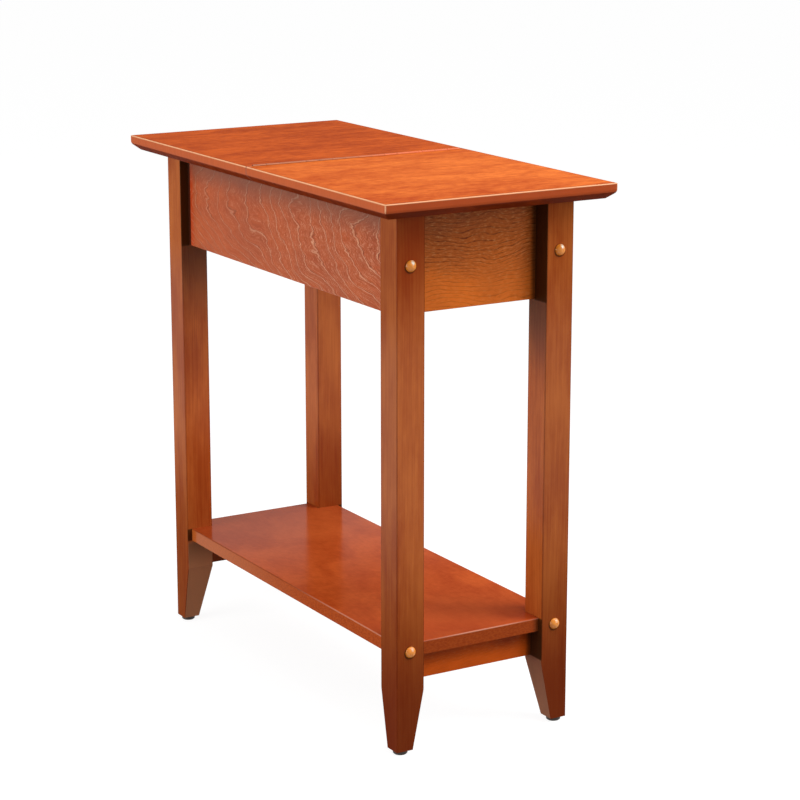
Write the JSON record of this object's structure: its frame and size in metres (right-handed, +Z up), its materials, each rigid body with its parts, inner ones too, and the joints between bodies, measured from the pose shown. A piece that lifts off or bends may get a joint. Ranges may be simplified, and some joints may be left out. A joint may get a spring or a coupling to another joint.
{
  "type": "lift top end table",
  "caption": "Narrow wooden chairside table with a hinged half top over a hidden compartment, tapered feet and a low open shelf.",
  "frame": {"origin": "on the floor under the middle of the top", "axes": "+Z up, X across the narrow ends, Y along the long sides; the lifting leaf is at -Y"},
  "size_m": [0.286, 0.61, 0.6117],
  "materials": {
    "top_wood": "cherry stain under satin lacquer",
    "frame_wood": "cherry stain under satin lacquer",
    "shelf_wood": "cherry stain under satin lacquer",
    "inner_wood": "thinly stained, unpolished",
    "dowel_wood": "bare beech",
    "plug_wood": "honey stain, glossy",
    "glide_plastic": "dark brown moulded",
    "hinge_metal": "satin antique",
    "fastener_steel": "zinc plated"
  },
  "bodies": {
    "table": {"cleat_side_screws": "fastener_steel", "cleat_top_screws": "fastener_steel", "compartment_floor": "inner_wood", "divider_panel": "inner_wood", "fixed_hinge_plate": "hinge_metal", "fixed_hinge_screws": "hinge_metal", "front_apron": "frame_wood", "front_apron_dowels": "dowel_wood", "front_left_glide": "glide_plastic", "front_left_leg": "frame_wood", "front_left_lower_plug": "plug_wood", "front_left_upper_plug": "plug_wood", "front_right_glide": "glide_plastic", "front_right_leg": "frame_wood", "front_right_lower_plug": "plug_wood", "front_right_upper_plug": "plug_wood", "front_stretcher": "frame_wood", "front_stretcher_dowels": "dowel_wood", "hinge_pin": "hinge_metal", "left_side_apron": "frame_wood", "left_top_cleat": "inner_wood", "lower_barrel_nuts": "fastener_steel", "lower_leg_bolts": "fastener_steel", "lower_shelf": "shelf_wood", "rear_apron": "frame_wood", "rear_apron_dowels": "dowel_wood", "rear_left_glide": "glide_plastic", "rear_left_leg": "frame_wood", "rear_left_lower_plug": "plug_wood", "rear_left_upper_plug": "plug_wood", "rear_right_glide": "glide_plastic", "rear_right_leg": "frame_wood", "rear_right_lower_plug": "plug_wood", "rear_right_upper_plug": "plug_wood", "rear_stretcher": "frame_wood", "rear_stretcher_dowels": "dowel_wood", "rear_top_leaf": "top_wood", "right_side_apron": "frame_wood", "right_top_cleat": "inner_wood", "upper_barrel_nuts": "fastener_steel", "upper_leg_bolts": "fastener_steel"},
    "lift_top": {"lift_leaf": "top_wood", "moving_hinge_plate": "hinge_metal", "moving_hinge_screws": "hinge_metal"}
  },
  "joints": [
    {"name": "lift_top_hinge", "type": "hinge", "parent": "table", "child": "lift_top", "pos_m": [0, 0, 0.61025], "axis": [-1, 0, 0], "range_deg": [0, 180]}
  ]
}
